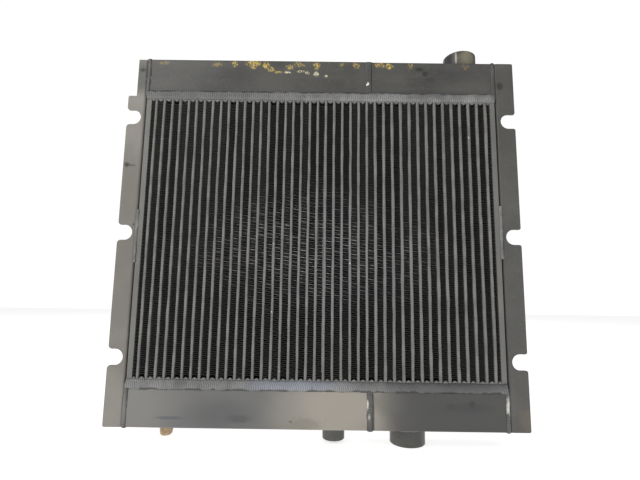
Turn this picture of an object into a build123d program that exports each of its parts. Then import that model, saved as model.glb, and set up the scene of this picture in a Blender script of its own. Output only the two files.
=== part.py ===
"""Two-circuit bar-and-plate hydraulic oil cooler, welded tanks, slotted side flanges."""

import os
from math import sqrt

from build123d import *

# Frame: X across the core, Y from the front face to the back, Z up along the oil channels.
# The origin is at the middle of the core. All lengths are millimetres.

# Core
CORE_DEPTH = 63.0  # front face to rear face
CORE_HEIGHT = 414.4  # length of every oil channel
SHEET = 0.6  # parting sheet thickness
AIR_GAP = 8.0  # air fin height, sheet to sheet
LEFT_BAR = 2.8  # oil bar thickness in the left circuit
RIGHT_BAR = 3.3  # oil bar thickness in the right circuit
LEFT_CHANNELS = 27  # the last of them is the dead channel under the divider
RIGHT_CHANNELS = 14
OIL_BAR_DEPTH = 6.0
SIDE_PLATE = 7.0
SIDE_PLATE_INNER = 250.4  # distance of the side plates' inner faces from the middle
FIN_RECESS = 2.0  # air fins sit behind the bar faces
FIN_FOLD = 40.0  # one full fold of the air fin ribbon
FIN_RIBBON = 1.0
TURBULATOR_RIBBON = 0.4
TURBULATOR_FOLDS = 4
TURBULATOR_GAP = 2.0  # from the turbulators' ends to the tanks
AIR_BAR_HEIGHT = 7.5
AIR_BAR_NOSE = 2.5

# Header tanks
TANK_WALL = 5.0
TANK_OUTER_Z = 263.2  # outer face of the tanks from the middle of the core
TOP_LEFT_STEP = 0.6  # how much higher the top left tank stands
TANK_CORNER = 1.5
TANK_INNER_CORNER = 1.0
END_CAP = 6.5
TANK_END_X = 253.4
DIVIDER_X = 72.0
DIVIDER = 5.0

# Ports: place along X, outer radius, bore radius, height above the tank
TOP_PORT_X = 218.5
BOTTOM_PORT_X = 128.0
MIDDLE_PORT_X = 24.4
REAR_PORT_X = -200.0
DRAIN_X = -210.5
LARGE_PORT = (24.3, 15.65)
SMALL_PORT = (15.4, 8.8)
TOP_PORT_RISE = 25.6
BOTTOM_PORT_RISE = 23.9
MIDDLE_PORT_RISE = 19.6
REAR_PORT_RISE = 18.0
PORT_SPIGOT = 3.0  # wall of the spigot that passes through the tank wall
PORT_CHAMFER = 2.0
PORT_WELD = 4.0

# Drain plug
DRAIN_BUNG = (12.0, 5.0)  # outer radius, thread radius
DRAIN_BUNG_RISE = 5.0
DRAIN_WASHER = (8.7, 5.1, 1.5)  # outer radius, inner radius, thickness
DRAIN_HEAD_FLATS = 16.0
DRAIN_HEAD = 11.4
DRAIN_SHANK = 13.0
THREAD_CLEARANCE = 0.05

# Mounting flanges
FLANGE_SHEET = 3.0
FLANGE_INNER_X = 259.9
LEFT_FLANGE_X = 285.5
RIGHT_FLANGE_X = 287.0
FLANGE_HALF_HEIGHT = 263.0
FLANGE_LEG = 25.0
FLANGE_BEND = (3.0, 1.0)  # outer and inner radius of the bend
SLOT_RADIUS = 10.7
SLOT_PITCH = 172.0
LEFT_SLOT_END_X = 265.0
RIGHT_SLOT_END_X = 266.0
LEFT_MOUTH_RADIUS = 5.0
RIGHT_MOUTH_RADIUS = 3.0
NOTCH = (12.0, 57.6)  # cut from the top outer corner of the left flange
CORNER_RADIUS = 2.5

# Weld beads
BEAD_INNER_Z = 200.2
BEAD_OUTER_Z = 214.0
BEAD_RISE = 3.0
SEAM_BEAD = 8.5
SEAM_RISE = 1.5
END_BEAD = 6.0
END_RISE = 1.2
LEG_FILLET = 3.0  # bead between the flange's leg and the end cap
LEG_FILLET_GAP = 4.0  # from that bead's end to the tank's outer face
STITCH_LENGTH = 76.0
LEFT_STITCH_Z = -4.5
RIGHT_STITCH_Z = 6.8
STITCH_DEPTH = 4.0
STITCH_LAP = 1.5  # spread over the flange and over the side plate
STITCH_RISE = 1.2

HALF_DEPTH = CORE_DEPTH / 2
HALF_CORE = CORE_HEIGHT / 2
FRONT = -HALF_DEPTH

os.makedirs("parts", exist_ok=True)


def save(part, name):
    """Writes one finished piece to its own file."""
    part.label = name
    export_step(part, f"parts/{name}.step")


def channel_rows():
    """Middle of every oil channel along X, with the thickness of its bars."""
    bars = [LEFT_BAR] * LEFT_CHANNELS + [RIGHT_BAR] * RIGHT_CHANNELS
    rows = []
    edge = 0.0
    for bar in bars:
        rows.append((edge + SHEET + bar / 2, bar))
        edge += bar + 2 * SHEET + AIR_GAP
    shift = (rows[0][0] + rows[-1][0]) / 2
    return [(x - shift, bar) for x, bar in rows]


def air_rows(channels):
    """Middle and width of every air passage along X, the narrow outer ones included."""
    edges = [(x - bar / 2 - SHEET, x + bar / 2 + SHEET) for x, bar in channels]
    walls = [(-SIDE_PLATE_INNER, -SIDE_PLATE_INNER)] + edges
    walls = walls + [(SIDE_PLATE_INNER, SIDE_PLATE_INNER)]
    rows = []
    for left, right in zip(walls[:-1], walls[1:]):
        rows.append(((left[1] + right[0]) / 2, right[0] - left[1]))
    return rows


CHANNELS = channel_rows()
AIR = air_rows(CHANNELS)
DEAD = LEFT_CHANNELS - 1

# ---------------------------------------------------------------- core pieces

for side, name in ((-1, "side_plate_left"), (1, "side_plate_right")):
    with BuildPart() as side_plate:
        with Locations((side * (SIDE_PLATE_INNER + SIDE_PLATE / 2), 0, 0)):
            Box(SIDE_PLATE, CORE_DEPTH, CORE_HEIGHT)
    save(side_plate.part, name)

with BuildPart() as parting_sheets:
    for x, bar in CHANNELS:
        with Locations((x - bar / 2 - SHEET / 2, 0, 0), (x + bar / 2 + SHEET / 2, 0, 0)):
            Box(SHEET, CORE_DEPTH, CORE_HEIGHT)
save(parting_sheets.part, "parting_sheets")

for side, name in ((-1, "oil_bars_front"), (1, "oil_bars_rear")):
    with BuildPart() as oil_bars:
        for x, bar in CHANNELS:
            with Locations((x, side * (HALF_DEPTH - OIL_BAR_DEPTH / 2), 0)):
                Box(bar, OIL_BAR_DEPTH, CORE_HEIGHT)
    save(oil_bars.part, name)

with BuildPart() as dead_channel_bar:
    with Locations((CHANNELS[DEAD][0], 0, 0)):
        Box(LEFT_BAR, CORE_DEPTH - 2 * OIL_BAR_DEPTH, CORE_HEIGHT)
save(dead_channel_bar.part, "dead_channel_bar")


def ribbon(length, height, folds, thickness):
    """Zigzag strip: its two long edges run from wall to wall, cut flat where they touch."""
    step = length / (2 * folds)
    run = sqrt(step * step + height * height)
    half = thickness * run / height / 2  # half thickness measured along the strip
    near = [(-length / 2 + step * i, height * (i % 2 - 0.5)) for i in range(2 * folds + 1)]
    lower = []
    upper = []
    for i, (along, across) in enumerate(near):
        top = i % 2 == 1
        inner = (along, across - height * half / step * (1 if top else -1))
        outer = [(along - half, across), (along + half, across)]
        if i == 0:
            outer = [(along, across), (along + half, across)]
        if i == 2 * folds:
            outer = [(along - half, across), (along, across)]
        (upper if top else lower).extend(outer)
        (lower if top else upper).append(inner)
    return lower + upper[::-1]


def ribbon_section(outline):
    """One ribbon's face, drawn about its own middle."""
    with BuildSketch(Plane.XY) as section:
        with BuildLine():
            Polyline(*outline, close=True)
        make_face()
    return section.sketch


def air_fins(rows, name):
    """One folded fin per air passage, between the two air bars."""
    length = 2 * (HALF_CORE - AIR_BAR_HEIGHT - AIR_BAR_NOSE)
    folds = round(length / FIN_FOLD)
    with BuildPart() as fins:
        for width in sorted({round(width, 3) for x, width in rows}):
            strip = ribbon(length, width, folds, FIN_RIBBON)
            section = ribbon_section([(across, z) for z, across in strip])
            with BuildSketch(Plane.XZ):
                with Locations(*[(x, 0) for x, w in rows if round(w, 3) == width]):
                    add(section)
            extrude(amount=HALF_DEPTH - FIN_RECESS, both=True, clean=False)
    save(fins.part, name)


air_fins(AIR[: DEAD + 1], "air_fins_left")
air_fins(AIR[DEAD + 1 :], "air_fins_right")

with BuildPart() as oil_turbulators:
    open_channels = [row for row in CHANNELS if row != CHANNELS[DEAD]]
    for bar in (LEFT_BAR, RIGHT_BAR):
        span = CORE_DEPTH - 2 * OIL_BAR_DEPTH
        strip = ribbon(span, bar, TURBULATOR_FOLDS, TURBULATOR_RIBBON)
        section = ribbon_section([(across, y) for y, across in strip])
        with BuildSketch(Plane.XY):
            with Locations(*[(x, 0) for x, thickness in open_channels if thickness == bar]):
                add(section)
        extrude(amount=HALF_CORE - TURBULATOR_GAP, both=True, clean=False)
save(oil_turbulators.part, "oil_turbulators")

for side, name in ((1, "air_bars_top"), (-1, "air_bars_bottom")):
    with BuildPart() as air_bars:
        for x, width in AIR:
            shoulder = side * (HALF_CORE - AIR_BAR_HEIGHT)
            nose = shoulder - side * AIR_BAR_NOSE
            end = side * HALF_CORE
            left, right = x - width / 2, x + width / 2
            with BuildSketch(Plane.XZ):
                with BuildLine():
                    Polyline(
                        (left, end), (left, shoulder), (x, nose), (right, shoulder), (right, end),
                        close=True,
                    )
                make_face()
            extrude(amount=HALF_DEPTH, both=True)
    save(air_bars.part, name)

# ---------------------------------------------------------------- header tanks


def tank_outline(side, outer, inset=0.0):
    """Draws the tank's section in an open YZ sketch, from the core to the outer wall."""
    half = HALF_DEPTH - inset
    top = side * (outer - inset)
    base = side * HALF_CORE
    with BuildLine() as outline:
        FilletPolyline(
            (-half, base), (-half, top), (half, top), (half, base),
            radius=max(TANK_CORNER - inset, TANK_INNER_CORNER),
        )
        Line((half, base), (-half, base))
    make_face(outline.edges())


def tank(name, side, outer, start, end, holes):
    """U channel from start to end along X, with a hole in its wall for each port."""
    with BuildPart() as shell:
        with BuildSketch(Plane.YZ.offset(start)):
            tank_outline(side, outer)
        extrude(amount=end - start)
        with BuildSketch(Plane.YZ.offset(start)):
            tank_outline(side, outer, TANK_WALL)
        extrude(amount=end - start, mode=Mode.SUBTRACT)
        for place, radius in holes:
            with Locations(place):
                Cylinder(radius, 3 * TANK_WALL, mode=Mode.SUBTRACT)
    save(shell.part, name)


def plate(name, side, outer, start, end):
    """Solid plate with the tank's outline, which closes a tank's end."""
    with BuildPart() as closing:
        with BuildSketch(Plane.YZ.offset(start)):
            tank_outline(side, outer)
        extrude(amount=end - start)
    save(closing.part, name)


DIVIDER_START = DIVIDER_X - DIVIDER / 2
DIVIDER_END = DIVIDER_X + DIVIDER / 2
CAP_END = TANK_END_X + END_CAP
TOP_LEFT_Z = TANK_OUTER_Z + TOP_LEFT_STEP
REAR_PORT_Z = (HALF_CORE + TOP_LEFT_Z) / 2

TOP_PORT_AT = Location((TOP_PORT_X, 0, TANK_OUTER_Z))
BOTTOM_PORT_AT = Location((BOTTOM_PORT_X, 0, -TANK_OUTER_Z), (180, 0, 0))
MIDDLE_PORT_AT = Location((MIDDLE_PORT_X, 0, -TANK_OUTER_Z), (180, 0, 0))
REAR_PORT_AT = Location((REAR_PORT_X, HALF_DEPTH, REAR_PORT_Z), (-90, 0, 0))
DRAIN_AT = Location((DRAIN_X, 0, -TANK_OUTER_Z), (180, 0, 0))

large_hole = LARGE_PORT[1] + PORT_SPIGOT
small_hole = SMALL_PORT[1] + PORT_SPIGOT
drain_hole = DRAIN_BUNG[1] + PORT_SPIGOT / 2
tank("top_tank_left", 1, TOP_LEFT_Z, -TANK_END_X, DIVIDER_START, [(REAR_PORT_AT, small_hole)])
tank("top_tank_right", 1, TANK_OUTER_Z, DIVIDER_END, TANK_END_X, [(TOP_PORT_AT, large_hole)])
tank(
    "bottom_tank_left", -1, TANK_OUTER_Z, -TANK_END_X, DIVIDER_START,
    [(DRAIN_AT, drain_hole), (MIDDLE_PORT_AT, small_hole)],
)
tank(
    "bottom_tank_right", -1, TANK_OUTER_Z, DIVIDER_END, TANK_END_X,
    [(BOTTOM_PORT_AT, large_hole)],
)
plate("top_divider_plate", 1, TOP_LEFT_Z, DIVIDER_START, DIVIDER_END)
plate("bottom_divider_plate", -1, TANK_OUTER_Z, DIVIDER_START, DIVIDER_END)
plate("end_cap_top_left", 1, TOP_LEFT_Z, -CAP_END, -TANK_END_X)
plate("end_cap_top_right", 1, TANK_OUTER_Z, TANK_END_X, CAP_END)
plate("end_cap_bottom_left", -1, TANK_OUTER_Z, -CAP_END, -TANK_END_X)
plate("end_cap_bottom_right", -1, TANK_OUTER_Z, TANK_END_X, CAP_END)

# ---------------------------------------------------------------- ports and drain

OUTWARD = (Align.CENTER, Align.CENTER, Align.MIN)
INWARD = (Align.CENTER, Align.CENTER, Align.MAX)


def bung(name, place, outer, bore, rise, spigot):
    """Threaded boss on a tank wall, with a spigot through the wall and a chamfered mouth."""
    base = Plane(place)
    with BuildPart(base) as boss:
        Cylinder(outer, rise, align=OUTWARD)
        Cylinder(bore + spigot, TANK_WALL, align=INWARD)
        Cylinder(bore, 4 * rise, mode=Mode.SUBTRACT)
        with Locations((0, 0, rise)):
            Cone(bore, bore + PORT_CHAMFER, PORT_CHAMFER, align=INWARD, mode=Mode.SUBTRACT)
        widest = boss.edges().filter_by(GeomType.CIRCLE).group_by(SortBy.RADIUS)[-1]
        chamfer(widest.sort_by(Axis(base.origin, base.z_dir))[-1], PORT_CHAMFER / 2)
    save(boss.part, name)


bung("top_port", TOP_PORT_AT, *LARGE_PORT, TOP_PORT_RISE, PORT_SPIGOT)
bung("bottom_port", BOTTOM_PORT_AT, *LARGE_PORT, BOTTOM_PORT_RISE, PORT_SPIGOT)
bung("middle_port", MIDDLE_PORT_AT, *SMALL_PORT, MIDDLE_PORT_RISE, PORT_SPIGOT)
bung("rear_port", REAR_PORT_AT, *SMALL_PORT, REAR_PORT_RISE, PORT_SPIGOT)
bung("drain_bung", DRAIN_AT, *DRAIN_BUNG, DRAIN_BUNG_RISE, PORT_SPIGOT / 2)

with BuildPart(Plane(DRAIN_AT).offset(DRAIN_BUNG_RISE)) as drain_washer:
    Cylinder(DRAIN_WASHER[0], DRAIN_WASHER[2], align=OUTWARD)
    Cylinder(DRAIN_WASHER[1], 4 * DRAIN_WASHER[2], mode=Mode.SUBTRACT)
save(drain_washer.part, "drain_washer")

HEAD_PLANE = Plane(DRAIN_AT).offset(DRAIN_BUNG_RISE + DRAIN_WASHER[2])
with BuildPart() as drain_plug:
    with BuildSketch(HEAD_PLANE):
        RegularPolygon(DRAIN_HEAD_FLATS / 2, 6, major_radius=False)
    extrude(amount=DRAIN_HEAD)
    with BuildSketch(HEAD_PLANE):
        Circle(DRAIN_BUNG[1] - THREAD_CLEARANCE)
    extrude(amount=-DRAIN_SHANK)
save(drain_plug.part, "drain_plug")

# ---------------------------------------------------------------- mounting flanges


def flange(name, side, outer_x, slot_end, mouth_radius, notch):
    """L section beside the core, with three open slots in its front plate."""
    near = side * FLANGE_INNER_X
    far = side * outer_x
    leg_face = side * (FLANGE_INNER_X + FLANGE_SHEET)
    back = FRONT + FLANGE_SHEET
    foot = FRONT + FLANGE_LEG
    with BuildPart() as angle:
        with BuildSketch(Plane.XY.offset(-FLANGE_HALF_HEIGHT)):
            with BuildLine():
                Polyline(
                    (near, FRONT), (far, FRONT), (far, back), (leg_face, back),
                    (leg_face, foot), (near, foot),
                    close=True,
                )
            make_face()
        extrude(amount=2 * FLANGE_HALF_HEIGHT)
        bend = angle.edges().filter_by(Axis.Z)
        fillet(bend.sort_by(lambda edge: abs(edge.center().X - near) + edge.center().Y)[0], FLANGE_BEND[0])
        inner = angle.edges().filter_by(Axis.Z)
        corner = Vector(leg_face, back, 0)
        fillet(inner.sort_by(lambda edge: (edge.center() - corner).length)[0], FLANGE_BEND[1])
        slot_x = slot_end + side * SLOT_RADIUS
        with BuildSketch(Plane.XZ.offset(-back - 1)):
            with Locations(*[(slot_x, SLOT_PITCH * n) for n in (-1, 0, 1)]):
                Circle(SLOT_RADIUS)
            with Locations(*[(slot_x + far / 2, SLOT_PITCH * n) for n in (-1, 0, 1)]):
                Rectangle(outer_x, 2 * SLOT_RADIUS)
            if notch:
                with Locations((far, FLANGE_HALF_HEIGHT)):
                    Rectangle(2 * notch[0], 2 * notch[1])
        extrude(amount=FLANGE_SHEET + 2, mode=Mode.SUBTRACT)
        rim = angle.edges().filter_by(Axis.Y).filter_by_position(Axis.X, far - 0.1, far + 0.1)
        ordered = rim.sort_by(Axis.Z)
        fillet(ordered[1:-1], mouth_radius)
        rim = angle.edges().filter_by(Axis.Y).filter_by_position(Axis.X, far - 0.1, far + 0.1)
        ordered = rim.sort_by(Axis.Z)
        fillet([ordered[0], ordered[-1]], CORNER_RADIUS)
    save(angle.part, name)


flange("flange_left", -1, LEFT_FLANGE_X, -LEFT_SLOT_END_X, LEFT_MOUTH_RADIUS, NOTCH)
flange("flange_right", 1, RIGHT_FLANGE_X, RIGHT_SLOT_END_X, RIGHT_MOUTH_RADIUS, None)

# ---------------------------------------------------------------- weld beads


def bead_section(wall, side, low, high, rise):
    """Draws a shallow arc on a wall that faces along side, between two heights."""
    with BuildLine() as outline:
        ThreePointArc((wall, low), (wall + side * rise, (low + high) / 2), (wall, high))
        Line((wall, high), (wall, low))
    make_face(outline.edges())


for end, end_name in ((1, "top"), (-1, "bottom")):
    for face, face_name in ((-1, "front"), (1, "rear")):
        with BuildPart() as core_weld:
            with BuildSketch(Plane.YZ.offset(-SIDE_PLATE_INNER - SIDE_PLATE)):
                bead_section(
                    face * HALF_DEPTH, face, end * BEAD_INNER_Z, end * BEAD_OUTER_Z, BEAD_RISE
                )
            extrude(amount=2 * (SIDE_PLATE_INNER + SIDE_PLATE))
        save(core_weld.part, f"weld_core_{end_name}_{face_name}")


def seam(side, outer, start, end, rise):
    """Bead over the outside of a tank, from one core bead round to the other."""
    with BuildSketch(Plane.YZ.offset(start)) as outside:
        tank_outline(side, outer, -rise)
    extrude(outside.sketch, amount=end - start)
    with BuildSketch(Plane.YZ.offset(start)) as inside:
        tank_outline(side, outer)
    extrude(inside.sketch, amount=end - start, mode=Mode.SUBTRACT)
    with Locations(((start + end) / 2, 0, side * BEAD_OUTER_Z / 2)):
        Box(end - start, 2 * CORE_DEPTH, BEAD_OUTER_Z, mode=Mode.SUBTRACT)


for side, outer, end_name in ((1, TOP_LEFT_Z, "top"), (-1, TANK_OUTER_Z, "bottom")):
    with BuildPart() as divider_weld:
        seam(side, outer, DIVIDER_X - SEAM_BEAD / 2, DIVIDER_X + SEAM_BEAD / 2, SEAM_RISE)
    save(divider_weld.part, f"weld_divider_{end_name}")

CORNERS = (
    (1, TOP_LEFT_Z, -1, "top_left"),
    (1, TANK_OUTER_Z, 1, "top_right"),
    (-1, TANK_OUTER_Z, -1, "bottom_left"),
    (-1, TANK_OUTER_Z, 1, "bottom_right"),
)
for side, outer, hand, corner_name in CORNERS:
    low, high = sorted((hand * (CAP_END - END_BEAD), hand * CAP_END))
    with BuildPart() as cap_weld:
        seam(side, outer, low, high, END_RISE)
    save(cap_weld.part, f"weld_cap_{corner_name}")

with BuildPart() as weld_flange_ends:
    for side, outer, hand, corner_name in CORNERS:
        root = hand * CAP_END
        foot = FRONT + FLANGE_LEG
        with BuildSketch(Plane.XY.offset(side * BEAD_OUTER_Z)):
            with BuildLine():
                Polyline(
                    (root, foot), (root + hand * LEG_FILLET, foot), (root, foot + LEG_FILLET),
                    close=True,
                )
            make_face()
        extrude(amount=side * (outer - BEAD_OUTER_Z - LEG_FILLET_GAP))
save(weld_flange_ends.part, "weld_flange_ends")

with BuildPart() as weld_flange_stitches:
    for hand, z in ((-1, LEFT_STITCH_Z), (1, RIGHT_STITCH_Z)):
        plate_face = hand * (SIDE_PLATE_INNER + SIDE_PLATE)
        leg_face = hand * FLANGE_INNER_X
        root = FRONT + STITCH_DEPTH
        with BuildSketch(Plane.XY.offset(z - STITCH_LENGTH / 2)):
            with BuildLine():
                Polyline(
                    (plate_face, FRONT), (plate_face, root), (leg_face, root), (leg_face, FRONT),
                    (leg_face + hand * STITCH_LAP, FRONT),
                )
                ThreePointArc(
                    (leg_face + hand * STITCH_LAP, FRONT),
                    ((plate_face + leg_face) / 2, FRONT - STITCH_RISE),
                    (plate_face - hand * STITCH_LAP, FRONT),
                )
                Line((plate_face - hand * STITCH_LAP, FRONT), (plate_face, FRONT))
            make_face()
        extrude(amount=STITCH_LENGTH)
save(weld_flange_stitches.part, "weld_flange_stitches")

with BuildPart() as weld_ports:
    for place, outer in (
        (TOP_PORT_AT, LARGE_PORT[0]),
        (BOTTOM_PORT_AT, LARGE_PORT[0]),
        (MIDDLE_PORT_AT, SMALL_PORT[0]),
        (REAR_PORT_AT, SMALL_PORT[0]),
        (DRAIN_AT, DRAIN_BUNG[0]),
    ):
        with Locations(place):
            Cone(outer + PORT_WELD, outer + 1, PORT_WELD, align=OUTWARD)
            Cylinder(outer, 3 * PORT_WELD, mode=Mode.SUBTRACT)
save(weld_ports.part, "weld_ports")
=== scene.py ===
import math
import bmesh
import bpy
import numpy as np
from mathutils import Matrix, Vector


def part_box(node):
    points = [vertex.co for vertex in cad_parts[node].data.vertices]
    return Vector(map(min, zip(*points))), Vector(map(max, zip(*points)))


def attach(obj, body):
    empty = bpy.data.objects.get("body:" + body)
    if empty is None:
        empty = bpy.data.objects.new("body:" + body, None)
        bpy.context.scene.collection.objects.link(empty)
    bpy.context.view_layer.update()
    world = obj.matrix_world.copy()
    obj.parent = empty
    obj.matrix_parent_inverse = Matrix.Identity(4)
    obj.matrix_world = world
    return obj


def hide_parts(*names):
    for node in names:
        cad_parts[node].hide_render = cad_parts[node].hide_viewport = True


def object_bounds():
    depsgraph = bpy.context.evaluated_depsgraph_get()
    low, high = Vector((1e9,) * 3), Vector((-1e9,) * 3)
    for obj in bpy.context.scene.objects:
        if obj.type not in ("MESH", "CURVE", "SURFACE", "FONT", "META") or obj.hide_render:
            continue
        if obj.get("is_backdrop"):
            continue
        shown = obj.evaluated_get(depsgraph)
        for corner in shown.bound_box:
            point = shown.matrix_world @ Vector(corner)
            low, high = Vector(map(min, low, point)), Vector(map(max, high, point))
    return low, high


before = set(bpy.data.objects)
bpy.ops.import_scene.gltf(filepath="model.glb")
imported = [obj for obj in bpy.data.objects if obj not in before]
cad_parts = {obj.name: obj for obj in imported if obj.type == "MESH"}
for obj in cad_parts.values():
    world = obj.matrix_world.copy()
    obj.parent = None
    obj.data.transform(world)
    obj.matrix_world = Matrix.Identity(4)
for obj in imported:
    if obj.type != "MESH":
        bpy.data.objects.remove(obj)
cadLow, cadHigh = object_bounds()
mm = 0.001
print("frame loaded:", len(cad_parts), "nodes")


# ---- measuring the frame, in millimetres

def nodeBox(name):
    low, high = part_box(name)
    return np.array(low) / mm, np.array(high) / mm


def levels(name, axis):  # the different coordinates of a node's corners along one axis, in order
    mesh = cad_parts[name].data
    flat = np.empty(len(mesh.vertices) * 3)
    mesh.vertices.foreach_get("co", flat)
    return np.unique(np.round(flat.reshape(-1, 3)[:, axis] / mm, 2))


barEdges = levels("oil_bars_front", 0).reshape(-1, 2)  # left and right side of every oil bar
airEdges = levels("air_bars_top", 0).reshape(-1, 3)[:, [0, 2]]  # left and right side of every air passage
(_, frontY, coreLow), (_, rearY, coreHigh) = nodeBox("side_plate_left")
(dividerLeft, _, _), (dividerRight, _, _) = nodeBox("weld_divider_top")
dividerX = (dividerLeft + dividerRight) / 2
sheetLow, sheetHigh = nodeBox("parting_sheets")
print("oil channels:", len(barEdges), "air passages:", len(airEdges))


# ---- shader wiring

class Wire:
    # one output socket; an expression on wires adds its Math nodes
    def __init__(self, board, socket):
        self.board = board
        self.socket = socket

    def math(self, operation, first, second):
        return self.board.node("ShaderNodeMath", {"operation": operation}, {0: first, 1: second})

    def __add__(self, other):
        return self.math("ADD", self, other)

    def __sub__(self, other):
        return self.math("SUBTRACT", self, other)

    def __mul__(self, other):
        return self.math("MULTIPLY", self, other)


class Board:
    # the node tree of one material
    def __init__(self, name):
        self.material = bpy.data.materials.new(name)
        self.material.use_nodes = True
        self.tree = self.material.node_tree
        self.tree.nodes.clear()
        self.where = self.node("ShaderNodeTexCoord", out="Object")

    def node(self, kind, settings=None, sockets=None, out=0):
        made = self.tree.nodes.new(kind)
        for key, value in (settings or {}).items():
            setattr(made, key, value)
        for key, value in (sockets or {}).items():
            if isinstance(value, Wire):
                self.tree.links.new(value.socket, made.inputs[key])
            else:
                made.inputs[key].default_value = value
        return Wire(self, made.outputs[out])

    def mix(self, factor, first, second):  # colours: first where factor is 0, second where it is 1
        first, second = (c if isinstance(c, Wire) else (*c, 1) for c in (first, second))
        return self.node("ShaderNodeMix", {"data_type": "RGBA"}, {0: factor, 6: first, 7: second}, 2)

    def ramp(self, value, low, high, bottom=0.0, top=1.0):  # smooth step from bottom to top
        return self.node(
            "ShaderNodeMapRange", {"interpolation_type": "SMOOTHSTEP"},
            {0: value, 1: low, 2: high, 3: bottom, 4: top},
        )

    def noise(self, scale, detail=4.0, roughness=0.55, stretch=(1, 1, 1), shift=(0, 0, 0)):
        place = self.node("ShaderNodeMapping", {}, {0: self.where, 1: shift, 3: stretch})
        return self.node(
            "ShaderNodeTexNoise", {},
            {"Vector": place, "Scale": scale, "Detail": detail, "Roughness": roughness},
        )

    def along(self, axis):  # the object's X, Y or Z, in metres
        return self.node("ShaderNodeSeparateXYZ", {}, {0: self.where}, "XYZ".index(axis))

    def carried(self, name):  # a number that the mesh carries at its vertices
        return self.node("ShaderNodeAttribute", {"attribute_name": name}, {}, 2)

    def spot(self, mark):
        # soft ellipsoid: 1 round its centre, 0 one size away, with a rim broken up by noise; sizes in millimetres
        centre, size = ([v * mm for v in mark[key]] for key in ("at", "size"))
        move = self.node("ShaderNodeVectorMath", {"operation": "SUBTRACT"}, {0: self.where, 1: centre})
        away = self.node("ShaderNodeVectorMath", {"operation": "DIVIDE"}, {0: move, 1: size})
        far = self.node("ShaderNodeVectorMath", {"operation": "LENGTH"}, {0: away}, "Value")
        far = far + (self.noise(mark.get("grain", 60.0), 3.0) - 0.5) * mark.get("ragged", 0.5)
        mask = self.ramp(far, mark.get("core", 0.35), 1.0, 1.0, 0.0) * mark.get("strength", 1.0)
        if "broken" in mark:  # let the paint below through in fine flecks
            mask = mask * self.ramp(self.noise(mark["broken"], 2.0, 0.6, (1, 1, 0.7)), 0.40, 0.56)
        return mask

    def finish(self, **sockets):
        sockets = {key.replace("_", " "): value for key, value in sockets.items()}
        paint = self.node("ShaderNodeBsdfPrincipled", {}, sockets)
        end = self.tree.nodes.new("ShaderNodeOutputMaterial")
        self.tree.links.new(paint.socket, end.inputs[0])
        return self.material


# ---- mesh tools

def skins(name, grids, wrapRows=False, smooth=True):
    # grids is k blocks of rows x columns points in millimetres; each block becomes one closed skin of quads,
    # joined round its columns, with a face over its first and last row unless the rows join up too;
    # a block whose signed volume comes out negative is turned inside out
    grids = np.asarray(grids, dtype=float)
    if grids.ndim == 3:
        grids = grids[None]
    k, rows, cols, _ = grids.shape
    r = np.arange(rows if wrapRows else rows - 1)
    a, b = np.meshgrid(r, np.arange(cols), indexing="ij")
    a2, b2 = (a + 1) % rows, (b + 1) % cols
    quad = np.stack([a * cols + b, a * cols + b2, a2 * cols + b2, a2 * cols + b], -1).reshape(-1, 4)
    points = grids.reshape(k, rows * cols, 3)
    local = points - points.mean(1, keepdims=True)
    p0, p1, p2, p3 = (local[:, quad[:, i]] for i in range(4))
    volume = (np.cross(p0, p1) * p2).sum((1, 2)) + (np.cross(p0, p2) * p3).sum((1, 2))
    start = np.arange(k)[:, None, None] * rows * cols
    quads = np.where((volume < 0)[:, None, None], quad[None, :, ::-1], quad[None]) + start
    faces = quads.reshape(-1, 4).tolist()
    if not wrapRows:
        ends = np.stack([np.arange(cols)[::-1], np.arange(cols) + (rows - 1) * cols])
        ends = np.where((volume < 0)[:, None, None], ends[None, :, ::-1], ends[None]) + start
        faces += ends.reshape(-1, cols).tolist()
    mesh = bpy.data.meshes.new(name)
    mesh.from_pydata((grids * mm).reshape(-1, 3).tolist(), [], faces)
    mesh.update()
    mesh.polygons.foreach_set("use_smooth", np.full(len(mesh.polygons), smooth))
    piece = bpy.data.objects.new(name, mesh)
    bpy.context.scene.collection.objects.link(piece)
    return piece


def carry(piece, name, values):  # one number for every vertex, for a material to read
    layer = piece.data.attributes.new(name, "FLOAT", "POINT")
    layer.data.foreach_set("value", np.asarray(values, dtype=np.float32).ravel())


def stands(piece, material, slot, body, *nodes, sharp=None):
    if sharp:
        piece.data.set_sharp_from_angle(angle=math.radians(sharp))
    piece.data.materials.append(material)
    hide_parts(*nodes)
    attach(piece, body)


def wander(t, seed, waves, longest):
    # smooth unevenness of about -1 to 1: sines of falling wavelength with seeded phases
    random = np.random.default_rng(seed)
    total = np.zeros_like(t)
    for n in range(waves):
        turn = 2 * math.pi * t * (n + 1) / longest * random.uniform(0.8, 1.25)
        total += np.sin(turn + random.uniform(0, 6.28)) / (n + 1) ** 0.7
    return total / 2


# ---- paints

satin = {
    "dark": (0.058, 0.057, 0.053), "light": (0.098, 0.096, 0.089), "dust": (0.22, 0.21, 0.19), "rough": 0.42,
    "cloud": 9.0, "lines": (0.06, 1, 1), "bump": 0.12, "marks": (),
}
bareMetal = (0.80, 0.78, 0.72)
# near-black of soot smudges, and of the painted shade in crevices
sootAndShade = (0.022, 0.022, 0.021)


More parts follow.
